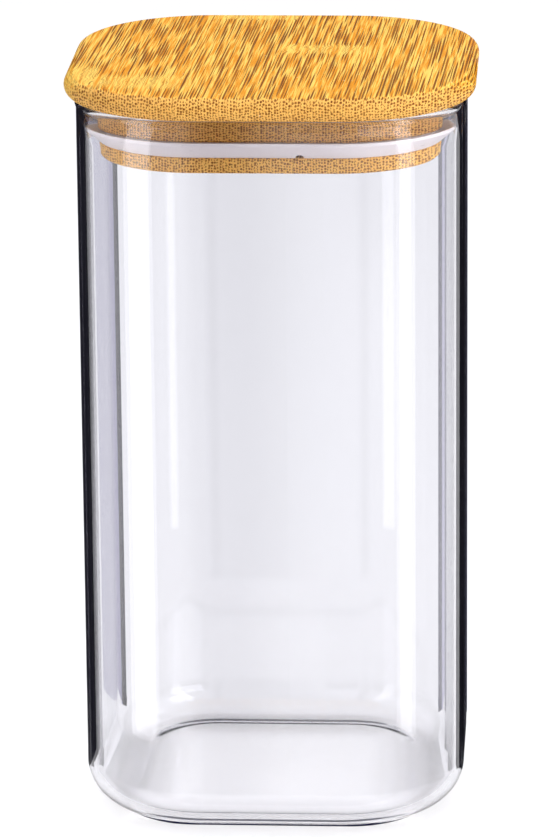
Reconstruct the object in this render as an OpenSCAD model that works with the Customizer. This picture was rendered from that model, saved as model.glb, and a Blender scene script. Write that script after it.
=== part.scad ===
// Square storage canister: a moulded glass jar, a laminated bamboo lid and the
// silicone seal that sits in the lid's groove. Millimetres, +Z up, origin at
// the centre of the jar's foot.

/* [Jar] */
// Outside width of the square jar
jar_w = 100; // [80:1:120]
// Outside radius of the jar's upright corners
corner_r = 32; // [28:1:34]
// Height of the jar from its foot to its rim
jar_h = 191; // [90:1:240]
// Thickness of the glass wall and floor
wall = 2.6; // [2.2:0.1:2.8]
// Diameter of the fire-polished bead round the rim, a little over the wall
bead_d = 2.9; // [2.9:0.1:3.4]
// Outside radius between wall and floor
foot_r = 11; // [8:0.5:14]
// Depth of the shallow panel under the floor
recess_depth = 0.4; // [0.3:0.1:1]
// Width of the flat foot that is left around that panel
foot_land = 3; // [3:0.5:6]

/* [Lid] */
// How far the lid reaches past the jar on each side
overhang = 3; // [2:0.5:5]
// Thickness of the top board, which has a half-round edge
board_t = 6.2; // [5:0.2:8]
// Gap between the top board and the rim that it rests over
seat_gap = 0.1; // [0.05:0.05:0.3]
// Depth that the plug reaches below the top board
plug_depth = 14.8; // [13.5:0.1:17]
// Gap between the plug and the inside of the jar
plug_gap = 3.6; // [2.5:0.1:4]
// Thickness of the plug's flange below the seal
flange_t = 4.1; // [3.5:0.1:4.5]
// Height of the groove that holds the seal
groove_h = 4.4; // [4:0.1:5]
// Depth of that groove
groove_depth = 3.5; // [3:0.1:4.5]
// Chamfer on the plug's edges
plug_chamfer = 0.5; // [0.3:0.1:0.8]

/* [Bamboo strips] */
// Width of one bamboo strip
strip_w = 22.5; // [20:0.5:25]
// Angle between the strips and the lid's sides, in degrees
strip_skew = 2.2; // [0:0.1:4]
// Place of one glue line of the top board, from the centre
board_line = 2; // [0:0.5:4]
// Place of one glue line of the plug's plies, from the centre
ply_line = 9; // [7:0.5:11]

/* [Seal] */
// Gap between the seal's lip and the glass
seal_gap = 0.3; // [0.2:0.05:0.4]
// Thickness of the seal's lip where it meets the glass
lip_t = 0.9; // [0.7:0.1:1.2]
// Thickness of the seal's band inside the groove
band_t = 1.6; // [1.2:0.1:2]
// Thickness of the seal between its lip and its band
web_t = 1.2; // [0.8:0.1:1.6]
// Radius of the half-round vent in the seal's lower edge
vent_r = 1.1; // [0.8:0.1:1.5]
// Place of that vent along the front
vent_x = 9; // [-12:1:12]

/* [Hidden] */
$fn = 96;

// Every upright corner turns about one of four lines, at this X and Y.
corner_at = jar_w / 2 - corner_r;
inside_r = corner_r - wall;
inner_foot_r = foot_r - wall;
plug_r = inside_r - plug_gap;
core_r = plug_r - groove_depth;
board_r = corner_r + overhang;

board_low = jar_h + seat_gap;
plug_low = board_low - plug_depth;
groove_low = plug_low + flange_t;
groove_top = groove_low + groove_h;
ply_joint = groove_low + groove_h / 2;

// Where the seal stands back from the plug's edge and rises past the groove.
seal_inset = 0.3;
lip_rise = 0.2;
band_clear = 0.2;

// Glue lines of the three layers, from left to right.
board_cuts = [for (k = [-2:2]) board_line + k * strip_w];
upper_cuts = [for (k = [-1:2]) k * strip_w - ply_line];
lower_cuts = [for (k = [-2:1]) k * strip_w + ply_line];
board_count = len(board_cuts) + 1;
ply_count = len(upper_cuts) + 1;

// A strip's slab reaches past the lid by this much, and a cut past its face.
far = 100;
slack = 1;

glass_colour = [0.86, 0.92, 0.92, 0.35];
silicone_colour = [0.9, 0.9, 0.92, 0.8];
bamboo_light = [0.93, 0.74, 0.44];
bamboo_dark = [0.86, 0.64, 0.34];

// Carries an outline around the rounded square. The outline's X is its distance
// from a corner's line, and its Y is its height.
module around_square() {
    for (turn = [0:90:270])
        rotate([0, 0, turn])
            translate([corner_at, corner_at, 0]) {
                rotate_extrude(angle = 90)
                    children();
                rotate([90, 0, 0])
                    linear_extrude(height = 2 * corner_at)
                        children();
            }
}

// The block between the four corner lines.
module middle_block(low, high) {
    translate([-corner_at, -corner_at, low])
        cube([2 * corner_at, 2 * corner_at, high - low]);
}

module rounded_square(reach) {
    across = 2 * (corner_at + reach);
    square([across, 2 * corner_at], center = true);
    square([2 * corner_at, across], center = true);
    for (x = [-corner_at, corner_at], y = [-corner_at, corner_at])
        translate([x, y])
            circle(r = reach);
}

// The section of a tub from its middle out to its wall, with a round heel.
module tub_outline(reach, low, high, radius) {
    translate([0, low + radius])
        square([reach, high - low - radius]);
    translate([0, low])
        square([reach - radius, radius + slack]);
    translate([reach - radius, low + radius])
        circle(r = radius);
}

// The floor, the wall and the bead on top of it. The bead is flush with the
// wall inside and stands proud of it outside.
module jar_outline() {
    bead_at = jar_h - bead_d / 2;
    difference() {
        tub_outline(corner_r, 0, bead_at, foot_r);
        tub_outline(inside_r, wall, bead_at + slack, inner_foot_r);
    }
    translate([inside_r + bead_d / 2, bead_at])
        circle(d = bead_d);
}

module glass_jar() {
    color(glass_colour)
        difference() {
            union() {
                around_square()
                    jar_outline();
                middle_block(0, wall);
            }
            translate([0, 0, -slack])
                linear_extrude(height = slack + recess_depth)
                    rounded_square(corner_r - foot_r - foot_land);
        }
}

// A flat band that grips the groove, and a lip that flares out to the glass.
module seal_outline() {
    lip_r = inside_r - seal_gap;
    lip_top = groove_top + lip_rise;
    band_top = groove_top - band_clear;
    polygon([
        [core_r, groove_low],
        [plug_r - seal_inset, groove_low],
        [lip_r, lip_top - lip_t],
        [lip_r, lip_top],
        [lip_r - lip_t / 2, lip_top],
        [core_r + band_t, groove_low + web_t],
        [core_r + band_t, band_top],
        [core_r, band_top]
    ]);
}

module silicone_seal() {
    color(silicone_colour)
        difference() {
            around_square()
                seal_outline();
            translate([vent_x, slack - corner_at - core_r, groove_low])
                rotate([90, 0, 0])
                    cylinder(r = vent_r, h = slack + groove_depth + plug_gap);
        }
}

// The top board, with a half-round edge all round.
module board() {
    middle_block(board_low, board_low + board_t);
    around_square() {
        translate([0, board_low])
            square([board_r - board_t / 2, board_t]);
        translate([board_r - board_t / 2, board_low + board_t / 2])
            circle(d = board_t);
    }
}

// The upper ply of the plug, down to the middle of the groove.
module upper_ply() {
    middle_block(ply_joint, board_low);
    around_square()
        polygon([
            [0, ply_joint],
            [core_r, ply_joint],
            [core_r, groove_top],
            [plug_r - plug_chamfer, groove_top],
            [plug_r, groove_top + plug_chamfer],
            [plug_r, board_low],
            [0, board_low]
        ]);
}

// The lower ply of the plug, from the middle of the groove to the underside.
module lower_ply() {
    middle_block(plug_low, ply_joint);
    around_square()
        polygon([
            [0, plug_low],
            [plug_r - plug_chamfer, plug_low],
            [plug_r, plug_low + plug_chamfer],
            [plug_r, groove_low - plug_chamfer],
            [plug_r - plug_chamfer, groove_low],
            [core_r, groove_low],
            [core_r, ply_joint],
            [0, ply_joint]
        ]);
}

// What one bamboo strip takes of a layer: the slab between two glue lines.
module strip(cuts, number) {
    low = number == 1 ? -far : cuts[number - 2];
    high = number > len(cuts) ? far : cuts[number - 1];
    color(number % 2 == 0 ? bamboo_light : bamboo_dark)
        intersection() {
            children();
            rotate([0, 0, -strip_skew])
                translate([low, -far, 0])
                    cube([high - low, 2 * far, jar_h + far]);
        }
}

glass_jar();
silicone_seal();
for (n = [1:board_count])
    strip(board_cuts, n) board();
for (n = [1:ply_count])
    strip(upper_cuts, n) upper_ply();
for (n = [1:ply_count])
    strip(lower_cuts, n) lower_ply();
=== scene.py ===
import math

import bpy
import numpy as np
from mathutils import Matrix, Vector


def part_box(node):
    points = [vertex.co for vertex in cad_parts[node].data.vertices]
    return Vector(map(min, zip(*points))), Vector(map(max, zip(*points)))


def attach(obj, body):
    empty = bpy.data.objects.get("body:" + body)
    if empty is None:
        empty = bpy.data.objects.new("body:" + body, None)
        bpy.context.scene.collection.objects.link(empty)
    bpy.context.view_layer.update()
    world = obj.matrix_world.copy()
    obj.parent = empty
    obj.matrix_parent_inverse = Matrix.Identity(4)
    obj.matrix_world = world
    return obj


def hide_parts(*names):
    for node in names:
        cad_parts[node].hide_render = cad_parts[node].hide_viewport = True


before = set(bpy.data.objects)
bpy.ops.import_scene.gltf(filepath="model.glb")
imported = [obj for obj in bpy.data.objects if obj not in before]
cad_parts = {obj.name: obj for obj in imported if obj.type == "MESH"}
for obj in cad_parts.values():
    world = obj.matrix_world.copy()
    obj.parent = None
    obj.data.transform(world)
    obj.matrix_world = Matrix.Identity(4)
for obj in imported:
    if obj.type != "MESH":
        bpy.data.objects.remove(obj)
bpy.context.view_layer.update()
MM = 0.001

# ---------------------------------------------------------------- sizes
# The jar's width and height come from its CAD box, and its section repeats the sizes in the CAD source. The
# panel under its floor differs: its edge is eased here and sharp there.
jar_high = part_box("glass_jar")[1]
BEAD_PROUD = 0.3 * MM  # how far the rim's bead stands out past the wall
JAR_HALF = jar_high.x - BEAD_PROUD
RIM_Z = jar_high.z
CORNER_R = 32 * MM
CORNER_AT = JAR_HALF - CORNER_R
WALL = 2.6 * MM
BEAD_D = WALL + BEAD_PROUD
HEEL_R = 11 * MM
FOOT_LAND = 3 * MM  # from the foot's outer edge in to the middle of the panel's eased edge
PANEL_DEPTH = 0.4 * MM  # of the shallow panel under the floor
PANEL_EASE = 5.4 * MM  # width of the panel's eased edge
FLOOR_RING = 3 * MM  # width of the ring of faces round the inside floor

# How finely the jar's section is cut
EASE_STEPS = 24
HEEL_STEPS = 28
WALL_STEPS = 24
BEAD_STEPS = 24


# ---------------------------------------------------------------- node helpers
def material(name):
    """A new node material, with its tree cleared down to the output."""
    made = bpy.data.materials.new(name)
    made.use_nodes = True
    tree = made.node_tree
    tree.nodes.clear()
    return made, tree, tree.nodes.new("ShaderNodeOutputMaterial")


def add(tree, kind, inputs=None, **settings):
    """A new node. Each input is a constant, or a socket that is linked to it."""
    made = tree.nodes.new(kind)
    for key, value in settings.items():
        setattr(made, key, value)
    for key, value in (inputs or {}).items():
        if isinstance(value, bpy.types.NodeSocket):
            tree.links.new(value, made.inputs[key])
        else:
            made.inputs[key].default_value = value
    return made


def maths(tree, operation, *values):
    inputs = dict(enumerate(values))
    return add(tree, "ShaderNodeMath", inputs, operation=operation).outputs[0]


def noise(tree, where, scale, detail=2.0, roughness=0.5):
    inputs = {"Vector": where, "Scale": scale, "Detail": detail, "Roughness": roughness}
    return add(tree, "ShaderNodeTexNoise", inputs).outputs["Fac"]


def spread(tree, value, low, high, to_low=0.0, to_high=1.0):
    """Carries a value from one range to another, smoothly and with its ends clamped."""
    inputs = {"Value": value, "From Min": low, "From Max": high, "To Min": to_low, "To Max": to_high}
    return add(tree, "ShaderNodeMapRange", inputs, interpolation_type="SMOOTHSTEP").outputs["Result"]


def blend(tree, amount, first, second):
    """Mixes two colours, each a constant or a socket."""
    made = add(tree, "ShaderNodeMix", {"Factor": amount}, data_type="RGBA")
    colours = [socket for socket in made.inputs if socket.type == "RGBA"]
    for socket, value in zip(colours, (first, second)):
        if isinstance(value, bpy.types.NodeSocket):
            tree.links.new(value, socket)
        else:
            socket.default_value = (*value, 1)
    return next(socket for socket in made.outputs if socket.type == "RGBA")


def stretched(tree, where, x, y, z):
    """A place with each axis scaled, so that a texture there runs long or short along it."""
    return add(tree, "ShaderNodeMapping", {"Vector": where, "Scale": (x, y, z)}).outputs["Vector"]


def object_place(tree):
    return add(tree, "ShaderNodeTexCoord").outputs["Object"]


def off_centre(tree, value, amount):
    """A noise value moved to lie round zero, times an amount."""
    return maths(tree, "MULTIPLY", maths(tree, "SUBTRACT", value, 0.5), amount)


def to_surface(tree, out, shader, socket="BSDF"):
    tree.links.new(shader.outputs[socket], out.inputs["Surface"])


# ---------------------------------------------------------------- mesh helpers
def arc(cx, cy, radius, start, end, steps):
    """Points along an arc, angles in degrees, both ends included."""
    angles = np.radians(np.linspace(start, end, steps + 1))
    return [(cx + radius * math.cos(a), cy + radius * math.sin(a)) for a in angles]


def flat_direction(degrees):
    angle = math.radians(degrees)
    return Vector((math.cos(angle), math.sin(angle), 0))


def around_square(profile, corner_steps=40, side_steps=8):
    """Vertices and faces of an outline carried round the rounded square, and its first and last rings.

    The outline's points are (distance from a corner's line, height)."""
    turns = []
    for corner in range(4):
        for i in range(corner_steps + 1):
            turns.append((corner, i / corner_steps, 0.0))
        for i in range(1, side_steps):
            turns.append((corner, 1.0, i / side_steps))
    reach = CORNER_AT * math.sqrt(2)
    verts, faces = [], []
    for corner, turned, along in turns:
        out = flat_direction(90 * (corner + turned) - 90)
        this_corner = flat_direction(90 * corner - 45) * reach
        next_corner = flat_direction(90 * corner + 45) * reach
        base = this_corner.lerp(next_corner, along)
        for r, z in profile:
            verts.append(base + out * r + Vector((0, 0, z)))
    count, rings = len(profile), len(turns)
    for i in range(rings):
        j = (i + 1) % rings
        for k in range(count - 1):
            faces.append((i * count + k, j * count + k, j * count + k + 1, i * count + k + 1))
    first = [i * count for i in range(rings)]
    last = [i * count + count - 1 for i in range(rings)]
    return verts, faces, first, last


def mesh_object(name, verts, faces):
    mesh = bpy.data.meshes.new(name)
    mesh.from_pydata([tuple(v) for v in verts], [], faces)
    mesh.update()
    mesh.polygons.foreach_set("use_smooth", [True] * len(mesh.polygons))
    made = bpy.data.objects.new(name, mesh)
    bpy.context.scene.collection.objects.link(made)
    return made


# ---------------------------------------------------------------- glass jar
def jar_profile():
    """The jar's section as (distance from a corner's line, height).

    It runs from under the floor, up the outside and back down inside."""
    inside = CORNER_R - WALL
    inner_heel = HEEL_R - WALL
    bead_r = BEAD_D / 2
    bead_at = RIM_Z - bead_r
    bead_x = inside + bead_r
    meet = math.degrees(math.acos((CORNER_R - bead_x) / bead_r))  # where the bead leaves the wall
    wall_top = bead_at - bead_r * math.sin(math.radians(meet))
    foot_edge = CORNER_R - HEEL_R
    panel_at = foot_edge - FOOT_LAND - PANEL_EASE / 2
    points = []
    for i in range(EASE_STEPS + 1):
        rise = PANEL_DEPTH * (1 + math.cos(math.pi * i / EASE_STEPS)) / 2
        points.append((panel_at + PANEL_EASE * i / EASE_STEPS, rise))
    points += arc(foot_edge, HEEL_R, HEEL_R, -90, 0, HEEL_STEPS)
    points += [(CORNER_R, HEEL_R + (wall_top - HEEL_R) * i / WALL_STEPS) for i in range(1, WALL_STEPS)]
    points += arc(bead_x, bead_at, bead_r, -meet, 180, BEAD_STEPS)
    points += [(inside, bead_at + (HEEL_R - bead_at) * i / WALL_STEPS) for i in range(1, WALL_STEPS)]
    points += arc(inside - inner_heel, HEEL_R, inner_heel, 0, -90, HEEL_STEPS)
    points.append((inside - inner_heel - FLOOR_RING, WALL))
    return points


def glass_material():
    """Clear glass: slow waves in its surface, and a trace of haze and of tint that come and go."""
    made, tree, out = material("clear_glass")
    place = object_place(tree)
    wave = noise(tree, stretched(tree, place, 1, 1, 0.22), 22, 1)
    haze = noise(tree, place, 35, 3)
    bump = add(tree, "ShaderNodeBump", {"Strength": 0.15, "Distance": 0.4 * MM, "Height": wave})
    shader = add(tree, "ShaderNodeBsdfGlass", {
        "Color": blend(tree, haze, (0.940, 0.940, 0.950), (0.949, 0.948, 0.957)),
        "Roughness": spread(tree, haze, 0.45, 0.75, 0.0, 0.02),
        "IOR": 1.47,
        "Normal": bump.outputs["Normal"],
    })
    to_surface(tree, out, shader)
    return made


def glass_jar():
    """The jar as one closed mesh that takes the place of the CAD jar. Only the panel's edge is softer."""
    verts, faces, first, last = around_square(jar_profile())
    faces.append(first[::-1])
    faces.append(last)
    made = mesh_object("glass_jar_body", verts, faces)
    made.data.materials.append(glass_material())
    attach(made, "jar")
    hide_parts("glass_jar")
    made.visible_shadow = False


# ---------------------------------------------------------------- silicone
def silicone_material():
    """Milky silicone: pale, a little see-through, with faint clouds and moulding ripples."""
    made, tree, out = material("silicone")
    place = object_place(tree)
    cloud = noise(tree, place, 60, 3)
    ripple = noise(tree, stretched(tree, place, 1, 1, 6), 160, 2)
    bump = add(tree, "ShaderNodeBump", {"Strength": 0.4, "Distance": 0.2 * MM, "Height": ripple})
    shader = add(tree, "ShaderNodeBsdfPrincipled", {
        "Base Color": blend(tree, cloud, (0.93, 0.85, 0.88), (0.99, 0.94, 0.97)),
        "Roughness": spread(tree, ripple, 0.2, 0.8, 0.26, 0.42),
        "IOR": 1.41,
        "Transmission Weight": 0.12,
        "Normal": bump.outputs["Normal"],
    })
    to_surface(tree, out, shader)
    return made


def finish_node(name, finish):
    """Puts one material on a CAD node, in place of its own, and gives the node back."""
    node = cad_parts[name]
    node.data.materials.clear()
    node.data.materials.append(finish)
    return node


def finish_seal():
    """The CAD seal in silicone, with its sharp edges rounded."""
    rounding = finish_node("silicone_seal", silicone_material()).modifiers.new("rounding", "BEVEL")
    rounding.width = 0.3 * MM
    rounding.segments = 3
    rounding.limit_method = "ANGLE"
    rounding.angle_limit = math.radians(28)


# ---------------------------------------------------------------- bamboo
GRAIN_SKEW = 2.2  # degrees that the grain is turned from straight front to back
FIBRE_PITCH = 0.74 * MM  # mean distance between fibres
PALE = (1.0, 0.66, 0.13)
WARM = (0.80, 0.30, 0.006)
DARK = (0.16, 0.036, 0.0)
END = (0.86, 0.47, 0.12)
GRAZED = (0.93, 0.80, 0.55)

# The knuckles on each board strip, as (place along the grain, half width)
BOARD_KNUCKLES = {
    1: [(-26 * MM, 13 * MM)],
    2: [(-34 * MM, 11 * MM)],
    3: [(48 * MM, 5 * MM)],
    4: [(8 * MM, 7 * MM)],
    5: [(50 * MM, 4 * MM)],
}
# How much lighter each strip is than the mean, and how steeply its fibres climb along it
TONES = (0.02, 0.10, -0.04, 0.06, -0.02, 0.08)
TILTS = (0.019, 0.014, 0.022, 0.016, 0.020, 0.015)


def knuckle_zone(tree, along, knuckles):
    """How near a place is to a knuckle: 1 in its middle, 0 past its width."""
    near = 0.0
    for at, width in knuckles:
        off = maths(tree, "DIVIDE", maths(tree, "SUBTRACT", along, at), width)
        here = spread(tree, maths(tree, "ABSOLUTE", off), 0.35, 1.0, 1.0, 0.0)
        near = maths(tree, "MAXIMUM", near, here)
    return near


def fibre_pattern(tree, turned, seed, tilt, near, end_grain):
    """The fibres: 1 on a fibre and 0 between them.

    They are a field of dots across the grain, drawn out along it at a slight tilt, so that an end shows dots
    and a planed face shows long thin dashes. Each column of dots starts at a height of its own."""
    split = add(tree, "ShaderNodeSeparateXYZ", {"Vector": turned})
    across, along, height = split.outputs["X"], split.outputs["Y"], split.outputs["Z"]
    sway = noise(tree, stretched(tree, turned, 1, 0.16, 1), 70)
    drift = noise(tree, stretched(tree, turned, 2.2, 0.5, 2.2), 90)
    bend = noise(tree, stretched(tree, turned, 1.4, 1, 1.4), 150)
    moved = off_centre(tree, sway, 0.9 * MM)
    knot = maths(tree, "MULTIPLY", off_centre(tree, bend, near), 5 * MM)
    u = maths(tree, "ADD", maths(tree, "ADD", across, moved), knot)
    rise = maths(tree, "MULTIPLY_ADD", along, tilt, height)
    v = maths(tree, "MULTIPLY_ADD", maths(tree, "SUBTRACT", drift, 0.5), 0.3 * MM, rise)
    column = maths(tree, "FLOOR", maths(tree, "DIVIDE", u, FIBRE_PITCH))
    draw = {"W": maths(tree, "ADD", column, seed)}
    chance = add(tree, "ShaderNodeTexWhiteNoise", draw, noise_dimensions="1D")
    v = maths(tree, "MULTIPLY_ADD", chance.outputs["Value"], 2 * FIBRE_PITCH, v)
    field = add(tree, "ShaderNodeCombineXYZ", {"X": u, "Y": v})
    dots = add(tree, "ShaderNodeTexVoronoi", {
        "Vector": field.outputs["Vector"], "Scale": 1 / FIBRE_PITCH, "Randomness": 0.42,
    }, voronoi_dimensions="2D")
    pick = add(tree, "ShaderNodeSeparateColor", {"Color": dots.outputs["Color"]})
    reach = spread(tree, pick.outputs["Red"], 0.0, 1.0, 0.25, 0.40)
    reach = maths(tree, "MULTIPLY_ADD", end_grain, 0.02, reach)
    return spread(tree, maths(tree, "SUBTRACT", dots.outputs["Distance"], reach), -0.10, 0.08, 1.0, 0.0)


def bamboo_material(name, seed, tilt, tone, knuckles):
    """One bamboo strip: fibres on a streaky ground that is warmer and darker here, paler there."""
    made, tree, out = material(name)
    inputs = {
        "Vector": object_place(tree),
        "Rotation": (0, 0, math.radians(GRAIN_SKEW)),
        "Location": (seed * 0.37, 0, seed * 0.11),
    }
    turned = add(tree, "ShaderNodeMapping", inputs).outputs["Vector"]
    along = add(tree, "ShaderNodeSeparateXYZ", {"Vector": turned}).outputs["Y"]
    near = knuckle_zone(tree, along, knuckles)
    normal = add(tree, "ShaderNodeTexCoord").outputs["Normal"]
    facing = add(tree, "ShaderNodeSeparateXYZ", {"Vector": normal})
    end_grain = spread(tree, maths(tree, "ABSOLUTE", facing.outputs["Y"]), 0.12, 0.55)

    hair = noise(tree, stretched(tree, turned, 1, 0.03, 1), 2600)
    streak = noise(tree, stretched(tree, turned, 1, 0.022, 1), 1300, 2, 0.6)
    cloud = noise(tree, stretched(tree, turned, 1, 0.3, 1), 45)
    paler = maths(tree, "MULTIPLY_ADD", near, -0.55, 1.0)
    strength = maths(tree, "MULTIPLY", spread(tree, streak, 0.3, 0.6, 0.7, 1.0), paler)
    fibre = fibre_pattern(tree, turned, seed, tilt, near, end_grain)
    fibre = maths(tree, "MULTIPLY", fibre, strength)

    mixed = maths(tree, "MULTIPLY_ADD", hair, 0.6, maths(tree, "MULTIPLY", streak, 0.4))
    ground = maths(tree, "ADD", spread(tree, mixed, 0.38, 0.64), maths(tree, "MULTIPLY", cloud, 0.18))
    ground = maths(tree, "ADD", ground, maths(tree, "MULTIPLY_ADD", near, 0.25, tone - 0.12))
    body = blend(tree, spread(tree, ground, 0.0, 1.0), WARM, PALE)
    body = blend(tree, maths(tree, "MULTIPLY", end_grain, 0.8), body, END)
    colour = blend(tree, maths(tree, "MULTIPLY", fibre, 0.95), body, DARK)
    speck = noise(tree, turned, 900, 1)
    grazed = maths(tree, "MULTIPLY", spread(tree, speck, 0.76, 0.82), 0.5)
    colour = blend(tree, grazed, colour, GRAZED)

    relief = maths(tree, "SUBTRACT", maths(tree, "MULTIPLY", hair, 0.35), fibre)
    bump = add(tree, "ShaderNodeBump", {"Strength": 0.35, "Distance": 0.06 * MM, "Height": relief})
    shader = add(tree, "ShaderNodeBsdfPrincipled", {
        "Base Color": colour,
        "Roughness": maths(tree, "MULTIPLY_ADD", fibre, 0.16, spread(tree, hair, 0.3, 0.7, 0.36, 0.5)),
        "IOR": 1.4,
        "Specular IOR Level": 0.15,
        "Normal": bump.outputs["Normal"],
    })
    to_surface(tree, out, shader)
    return made


def finish_strips(prefix, count, first_seed, knuckles):
    for number in range(1, count + 1):
        name = f"{prefix}_{number}"
        seed = first_seed + number
        tilt, tone = TILTS[seed % len(TILTS)], TONES[seed % len(TONES)]
        finish_node(name, bamboo_material(name, seed, tilt, tone, knuckles.get(number, [])))


# ---------------------------------------------------------------- stage
FLOOR_HALF = 3
FLOOR_GAP = 0.1 * MM  # how far the floor lies under the foot
FLOOR_WHITE = (0.88, 0.88, 0.88, 1)
HORIZON_DARK = (0.05, 0.05, 0.06, 1)
STUDIO_WHITE = (0.97, 0.97, 1, 1)
STUDIO_STRENGTH = 1.36

AIM = (0, 0, 0.17)  # where the soft lights point, just below the lid's plug
STRIP_AWAY = 0.125  # the strip lights' distance from the jar's axis, their height and radiance
STRIP_HIGH = 0.3
STRIP_RADIANCE = 2.6

CARD_HIGH = 0.21
SIDE_CARD_HIGH = 0.186  # stays below the rim's bead, because it stands 0.1 mm from the wall
FRONT_CARD_HIGH = 0.25
BLACK = 0.012

LINE_HALF = 41.0 * MM  # half the width of the painted shadow line under the foot, its corners' radius, its thickness
LINE_CORNER_R = 21 * MM
LINE_THICK = 1.5 * MM
LINE_TURN = 52  # degrees of each corner that it goes round
LINE_DROP = 0.05 * MM
# the near-black colour of the painted contact shadow under the foot
PAINTED_SHADOW_COLOUR = (0.02, 0.02, 0.05, 1)


def radial(azimuth, radius):
    """A place on the floor at an azimuth in degrees, turned from the front towards +X."""
    angle = math.radians(azimuth)
    return math.sin(angle) * radius, -math.cos(angle) * radius


def area_light(name, place, direction, width, height, radiance):
    """A rectangular soft light that shines along a direction."""
    data = bpy.data.lights.new(name, "AREA")
    data.shape = "RECTANGLE"
    data.size, data.size_y = width, height
    data.energy = radiance * math.pi * width * height
    lamp = bpy.data.objects.new(name, data)
    bpy.context.scene.collection.objects.link(lamp)
    lamp.location = place
    lamp.rotation_euler = direction.to_track_quat("-Z", "Y").to_euler()
    return lamp


def soft_light(name, place, width, height, radiance):
    area_light(name, place, Vector(AIM) - Vector(place), width, height, radiance)


def strip_light(name, azimuth, width):
    """An upright strip light facing the jar, that only gloss and glass see."""
    out = Vector((*radial(azimuth, 1), 0))
    middle = out * STRIP_AWAY + Vector((0, 0, STRIP_HIGH / 2))
    lamp = area_light(name, middle, -out, width, STRIP_HIGH, STRIP_RADIANCE)
    lamp.visible_diffuse = False
    lamp.visible_camera = False


def dark_card(name, start, end, high=CARD_HIGH, shade=BLACK, fades=False):
    """An upright card between two places on the floor. Seen from the right of the way from start to end it is
    dark, and from the left it is clear. Only gloss and glass see it. It can fade to white at its ends."""
    foot = [Vector((x, y, 0)) for x, y in (start, end)]
    up = Vector((0, 0, high))
    made = mesh_object(name, [foot[0], foot[1], foot[1] + up, foot[0] + up], [(0, 1, 2, 3)])
    mat, tree, out = material(name)
    dark = (shade, shade * 0.95, shade * 1.4)
    place = add(tree, "ShaderNodeTexCoord").outputs["Generated"]
    split = add(tree, "ShaderNodeSeparateXYZ", {"Vector": place})
    aside = maths(tree, "ABSOLUTE", maths(tree, "MULTIPLY_ADD", split.outputs["X"], 2, -1))
    edge = spread(tree, aside, 0.1, 1.0) if fades else 0.0
    front = add(tree, "ShaderNodeEmission", {"Color": blend(tree, edge, dark, (1, 1, 1))})
    back = add(tree, "ShaderNodeBsdfTransparent")
    side = add(tree, "ShaderNodeNewGeometry").outputs["Backfacing"]
    shaders = {0: side, 1: front.outputs["Emission"], 2: back.outputs["BSDF"]}
    to_surface(tree, out, add(tree, "ShaderNodeMixShader", shaders), "Shader")
    made.data.materials.append(mat)
    made.visible_camera = False
    made.visible_diffuse = False
    made.visible_shadow = False


def painted_contact_shadow():
    """A painted contact shadow: a thin dark strip on the floor along the front of the jar's foot, tapering
    away to the sides.
    """
    centre = LINE_HALF - LINE_CORNER_R
    turn = [math.radians(a) for a in np.linspace(-LINE_TURN, 0, 30)]
    left = [(-centre + LINE_CORNER_R * math.sin(a), -centre - LINE_CORNER_R * math.cos(a)) for a in turn]
    path = left + [(-x, y) for x, y in reversed(left)]
    verts = []
    for i, (x, y) in enumerate(path):
        from_end = min(i, len(path) - 1 - i) / len(path)
        wide = LINE_THICK * min(1.0, 3 * from_end) / 2
        verts += [Vector((x, y - wide, -LINE_DROP)), Vector((x, y + wide, -LINE_DROP))]
    faces = [(2 * i, 2 * i + 2, 2 * i + 3, 2 * i + 1) for i in range(len(path) - 1)]
    made = mesh_object("painted_contact_shadow", verts, faces)
    mat, tree, out = material("painted_contact_shadow")
    to_surface(tree, out, add(tree, "ShaderNodeBsdfDiffuse", {"Color": PAINTED_SHADOW_COLOUR}))
    made.data.materials.append(mat)


def studio():
    """Soft white light from overhead: white from 33 degrees above the horizon, and nearly dark below 17."""
    world = bpy.data.worlds.new("studio")
    bpy.context.scene.world = world
    world.use_nodes = True
    tree = world.node_tree
    place = add(tree, "ShaderNodeTexCoord").outputs["Generated"]
    height = add(tree, "ShaderNodeSeparateXYZ", {"Vector": place}).outputs["Z"]
    ramp = add(tree, "ShaderNodeValToRGB", {"Fac": height})
    low, high = ramp.color_ramp.elements
    low.position, low.color = 0.30, HORIZON_DARK
    high.position, high.color = 0.55, STUDIO_WHITE
    background = tree.nodes["Background"]
    tree.links.new(ramp.outputs["Color"], background.inputs["Color"])
    background.inputs["Strength"].default_value = STUDIO_STRENGTH


def pale_floor():
    """A pale floor that gives off some light under the jar, and a trace of it elsewhere."""
    corners = [(-1, -1), (1, -1), (1, 1), (-1, 1)]
    verts = [Vector((x * FLOOR_HALF, y * FLOOR_HALF, -FLOOR_GAP)) for x, y in corners]
    floor = mesh_object("floor", verts, [(0, 1, 2, 3)])
    mat, tree, out = material("floor")
    here = add(tree, "ShaderNodeSeparateXYZ", {"Vector": object_place(tree)})
    sides = [maths(tree, "ABSOLUTE", here.outputs[axis]) for axis in ("X", "Y")]
    reach = maths(tree, "MAXIMUM", *sides)
    middle = spread(tree, reach, 0.022, 0.034, 0.30, 0.0)
    pool = maths(tree, "ADD", middle, spread(tree, reach, 0.033, 0.041, 0.22, 0.02))
    diffuse = add(tree, "ShaderNodeBsdfDiffuse", {"Color": FLOOR_WHITE})
    glow = add(tree, "ShaderNodeEmission", {"Strength": pool})
    both = {0: diffuse.outputs["BSDF"], 1: glow.outputs["Emission"]}
    to_surface(tree, out, add(tree, "ShaderNodeAddShader", both), "Shader")
    floor.data.materials.append(mat)


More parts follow.
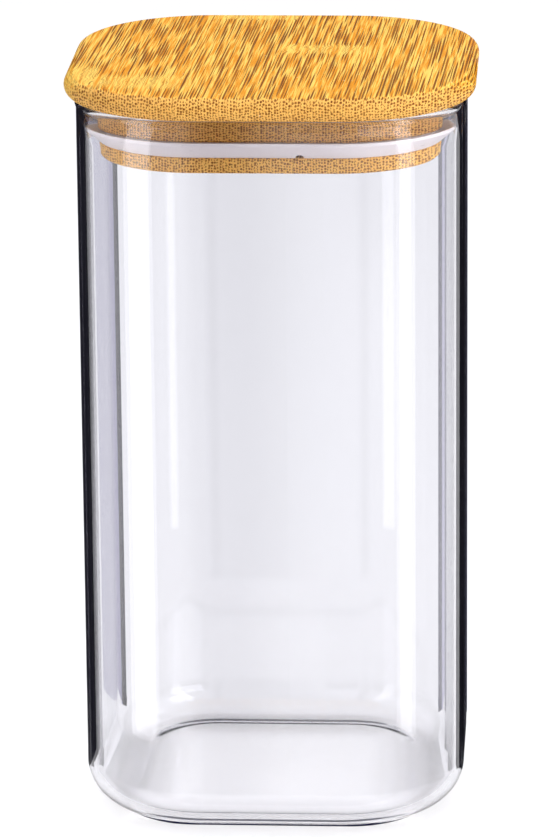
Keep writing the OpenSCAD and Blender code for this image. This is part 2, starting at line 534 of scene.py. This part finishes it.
def dark_cards():
    """The cards that draw the glass's edges, as seen from the front: beside it, behind it and in front."""
    dark_card("left_flag", (-0.084, 0), (-0.0532, 0))
    dark_card("left_back_flag", radial(225, 0.080), radial(225, 0.0735))
    dark_card("left_back_shade", radial(225, 0.094), radial(225, 0.080), shade=0.35)
    dark_card("right_flag", (0.0532, 0), (0.0645, 0))
    dark_card("right_side_flag", (0.0501, 0), (0.0532, 0), SIDE_CARD_HIGH)
    dark_card("right_rear_flag", (0.0501, 0.018), (0.0535, 0.018), SIDE_CARD_HIGH)
    dark_card("right_back_flag", radial(135, 0.0692), radial(135, 0.0760), shade=0.08)
    dark_card("right_back_shade", radial(135, 0.0760), radial(135, 0.094), shade=0.45)
    dark_card("front_shade", (0.004, -0.075), (-0.030, -0.075), FRONT_CARD_HIGH, 0.1, True)


def lights():
    strip_light("left_strip", -49, 0.042)
    strip_light("right_strip", 55, 0.026)
    soft_light("front", (0.42, -0.5, 0.28), 0.5, 0.3, 2.6)
    soft_light("key", (0.55, -0.35, 0.75), 0.35, 0.35, 5)


# ---------------------------------------------------------------- camera
AZIMUTH, ELEVATION, ROLL = 3.37, 16.08, 0.5  # degrees
CAMERA_AWAY = 1441.0 * MM
AIM_ASIDE = 0.68 * MM
AIM_HIGH = 99.05 * MM
SENSOR = 36
LENS = 234.1075


def camera():
    """Looks down on the front from 16 degrees, turned a little to the right."""
    azimuth, elevation, roll = (math.radians(angle) for angle in (AZIMUTH, ELEVATION, ROLL))
    right = Vector((math.cos(azimuth), math.sin(azimuth), 0))
    level_back = Vector((math.sin(azimuth), -math.cos(azimuth), 0))
    back = level_back * math.cos(elevation) + Vector((0, 0, math.sin(elevation)))
    aim = right * AIM_ASIDE + Vector((0, 0, AIM_HIGH))
    up = back.cross(right)
    turned = right * math.cos(roll) - up * math.sin(roll)
    above = right * math.sin(roll) + up * math.cos(roll)
    data = bpy.data.cameras.new("camera")
    data.sensor_fit = "AUTO"
    data.sensor_width = SENSOR
    data.lens = LENS
    data.clip_start, data.clip_end = 0.01, 20
    made = bpy.data.objects.new("camera", data)
    bpy.context.scene.collection.objects.link(made)
    turn = Matrix((turned, above, back)).transposed()
    made.matrix_world = Matrix.Translation(aim + back * CAMERA_AWAY) @ turn.to_4x4()
    bpy.context.scene.camera = made


def view_settings():
    """Plain colours, and enough bounces for light that meets many faces of glass."""
    scene = bpy.context.scene
    scene.view_settings.view_transform = "Standard"
    scene.cycles.use_denoising = True
    scene.cycles.max_bounces = 24
    scene.cycles.transmission_bounces = 20
    scene.cycles.transparent_max_bounces = 16
    scene.cycles.glossy_bounces = 12


# ---------------------------------------------------------------- build
glass_jar()
finish_seal()
finish_strips("lid_strip", 6, 0, BOARD_KNUCKLES)
finish_strips("plug_upper_strip", 5, 10, {})
finish_strips("plug_lower_strip", 5, 20, {})
studio()
pale_floor()
# a painted contact shadow under the front of the jar's foot
painted_contact_shadow()
dark_cards()
lights()
camera()
view_settings()
